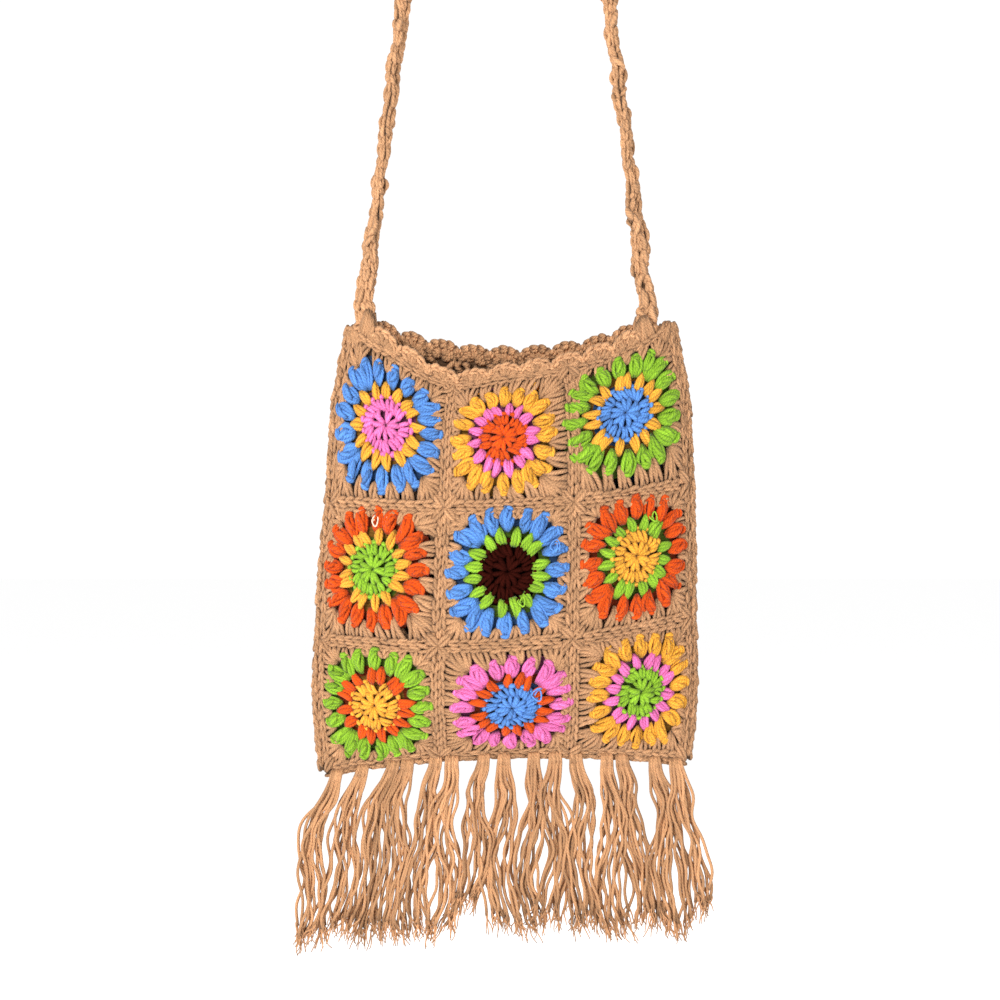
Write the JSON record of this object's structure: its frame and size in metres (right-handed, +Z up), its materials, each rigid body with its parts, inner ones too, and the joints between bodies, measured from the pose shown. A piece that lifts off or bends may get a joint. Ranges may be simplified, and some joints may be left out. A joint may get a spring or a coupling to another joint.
{
  "type": "crochet shoulder bag",
  "caption": "Flat crocheted pouch of granny squares with a scalloped open mouth, a long twisted shoulder strap and a tasselled fringe, shown hanging by its strap.",
  "frame": {"origin": "under the top of the strap, where it lies over a peg", "axes": "+X to the bag's right as seen from its front, +Y to its back, +Z up"},
  "size_m": [0.2757, 0.0646, 0.9691],
  "materials": {
    "yarn_tan": "matt crocheted yarn",
    "yarn_fringe": "matt crocheted yarn",
    "yarn_blue": "matt crocheted yarn",
    "yarn_pink": "matt crocheted yarn",
    "yarn_yellow": "matt crocheted yarn",
    "yarn_orange": "matt crocheted yarn",
    "yarn_green": "matt crocheted yarn"
  },
  "bodies": {
    "root": {"square_front_1_1": "yarn_tan", "medallion_front_1_1": "yarn_blue", "square_front_1_2": "yarn_tan", "medallion_front_1_2": "yarn_yellow", "square_front_1_3": "yarn_tan", "medallion_front_1_3": "yarn_green", "square_front_2_1": "yarn_tan", "medallion_front_2_1": "yarn_orange", "square_front_2_2": "yarn_tan", "medallion_front_2_2": "yarn_blue", "square_front_2_3": "yarn_tan", "medallion_front_2_3": "yarn_orange", "square_front_3_1": "yarn_tan", "medallion_front_3_1": "yarn_green", "square_front_3_2": "yarn_tan", "medallion_front_3_2": "yarn_pink", "square_front_3_3": "yarn_tan", "medallion_front_3_3": "yarn_yellow", "square_back_1_1": "yarn_tan", "medallion_back_1_1": "yarn_blue", "square_back_1_2": "yarn_tan", "medallion_back_1_2": "yarn_yellow", "square_back_1_3": "yarn_tan", "medallion_back_1_3": "yarn_green", "square_back_2_1": "yarn_tan", "medallion_back_2_1": "yarn_orange", "square_back_2_2": "yarn_tan", "medallion_back_2_2": "yarn_blue", "square_back_2_3": "yarn_tan", "medallion_back_2_3": "yarn_orange", "square_back_3_1": "yarn_tan", "medallion_back_3_1": "yarn_green", "square_back_3_2": "yarn_tan", "medallion_back_3_2": "yarn_pink", "square_back_3_3": "yarn_tan", "medallion_back_3_3": "yarn_yellow", "edging_front": "yarn_tan", "edging_back": "yarn_tan", "side_seam_left": "yarn_tan", "side_seam_right": "yarn_tan", "bottom_seam": "yarn_tan", "strap": "yarn_tan", "tassel_01": "yarn_fringe", "tassel_02": "yarn_fringe", "tassel_03": "yarn_fringe", "tassel_04": "yarn_fringe", "tassel_05": "yarn_fringe", "tassel_06": "yarn_fringe", "tassel_07": "yarn_fringe", "tassel_08": "yarn_fringe", "tassel_09": "yarn_fringe", "tassel_10": "yarn_fringe", "tassel_11": "yarn_fringe", "tassel_12": "yarn_fringe", "tassel_13": "yarn_fringe", "tassel_14": "yarn_fringe", "tassel_15": "yarn_fringe"}
  },
  "joints": []
}
